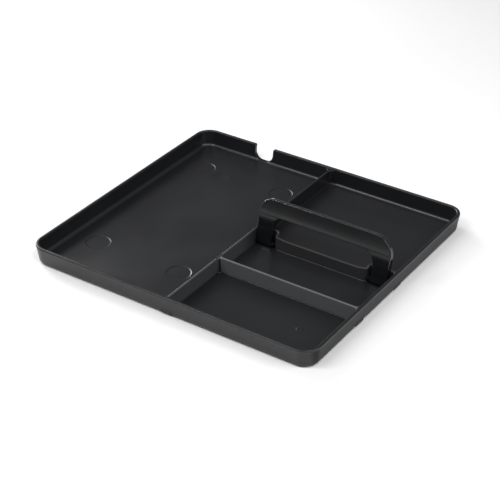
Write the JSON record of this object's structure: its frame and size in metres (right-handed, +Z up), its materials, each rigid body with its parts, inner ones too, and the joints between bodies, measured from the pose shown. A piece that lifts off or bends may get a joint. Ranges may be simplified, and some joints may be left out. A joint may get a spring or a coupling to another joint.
{
  "type": "divided desk tray with folding handle",
  "caption": "Low rectangular moulded plastic tray split into a long bay and shorter bays, with a cable notch and a fold-down carrying handle.",
  "frame": {"origin": "centre of the tray's footprint, at the level the grip pads rest on", "axes": "+X along the long side towards the short bays, +Y towards the wall with the cable notch, +Z up"},
  "size_m": [0.3, 0.276, 0.0476],
  "materials": {
    "tray_plastic": "semi-gloss moulded black",
    "handle_plastic": "polished black",
    "pin_plastic": "matt black acetal",
    "bush_plastic": "matt black",
    "pad_rubber": "matt black rubber"
  },
  "bodies": {
    "base": {"tray": "tray_plastic", "hinge_pin_left": "pin_plastic", "hinge_pin_right": "pin_plastic", "pivot_bush_left": "bush_plastic", "pivot_bush_right": "bush_plastic", "grip_pad_front_left": "pad_rubber", "grip_pad_rear_left": "pad_rubber", "grip_pad_front_middle": "pad_rubber", "grip_pad_rear_middle": "pad_rubber", "grip_pad_front_right": "pad_rubber", "grip_pad_rear_right": "pad_rubber"},
    "carry_handle": {"handle": "handle_plastic"}
  },
  "joints": [
    {"name": "handle_fold", "type": "hinge", "parent": "base", "child": "carry_handle", "pos_m": [0.073, 0.0022, 0.0061], "axis": [1, 0, 0], "range_deg": [0, 105]}
  ]
}
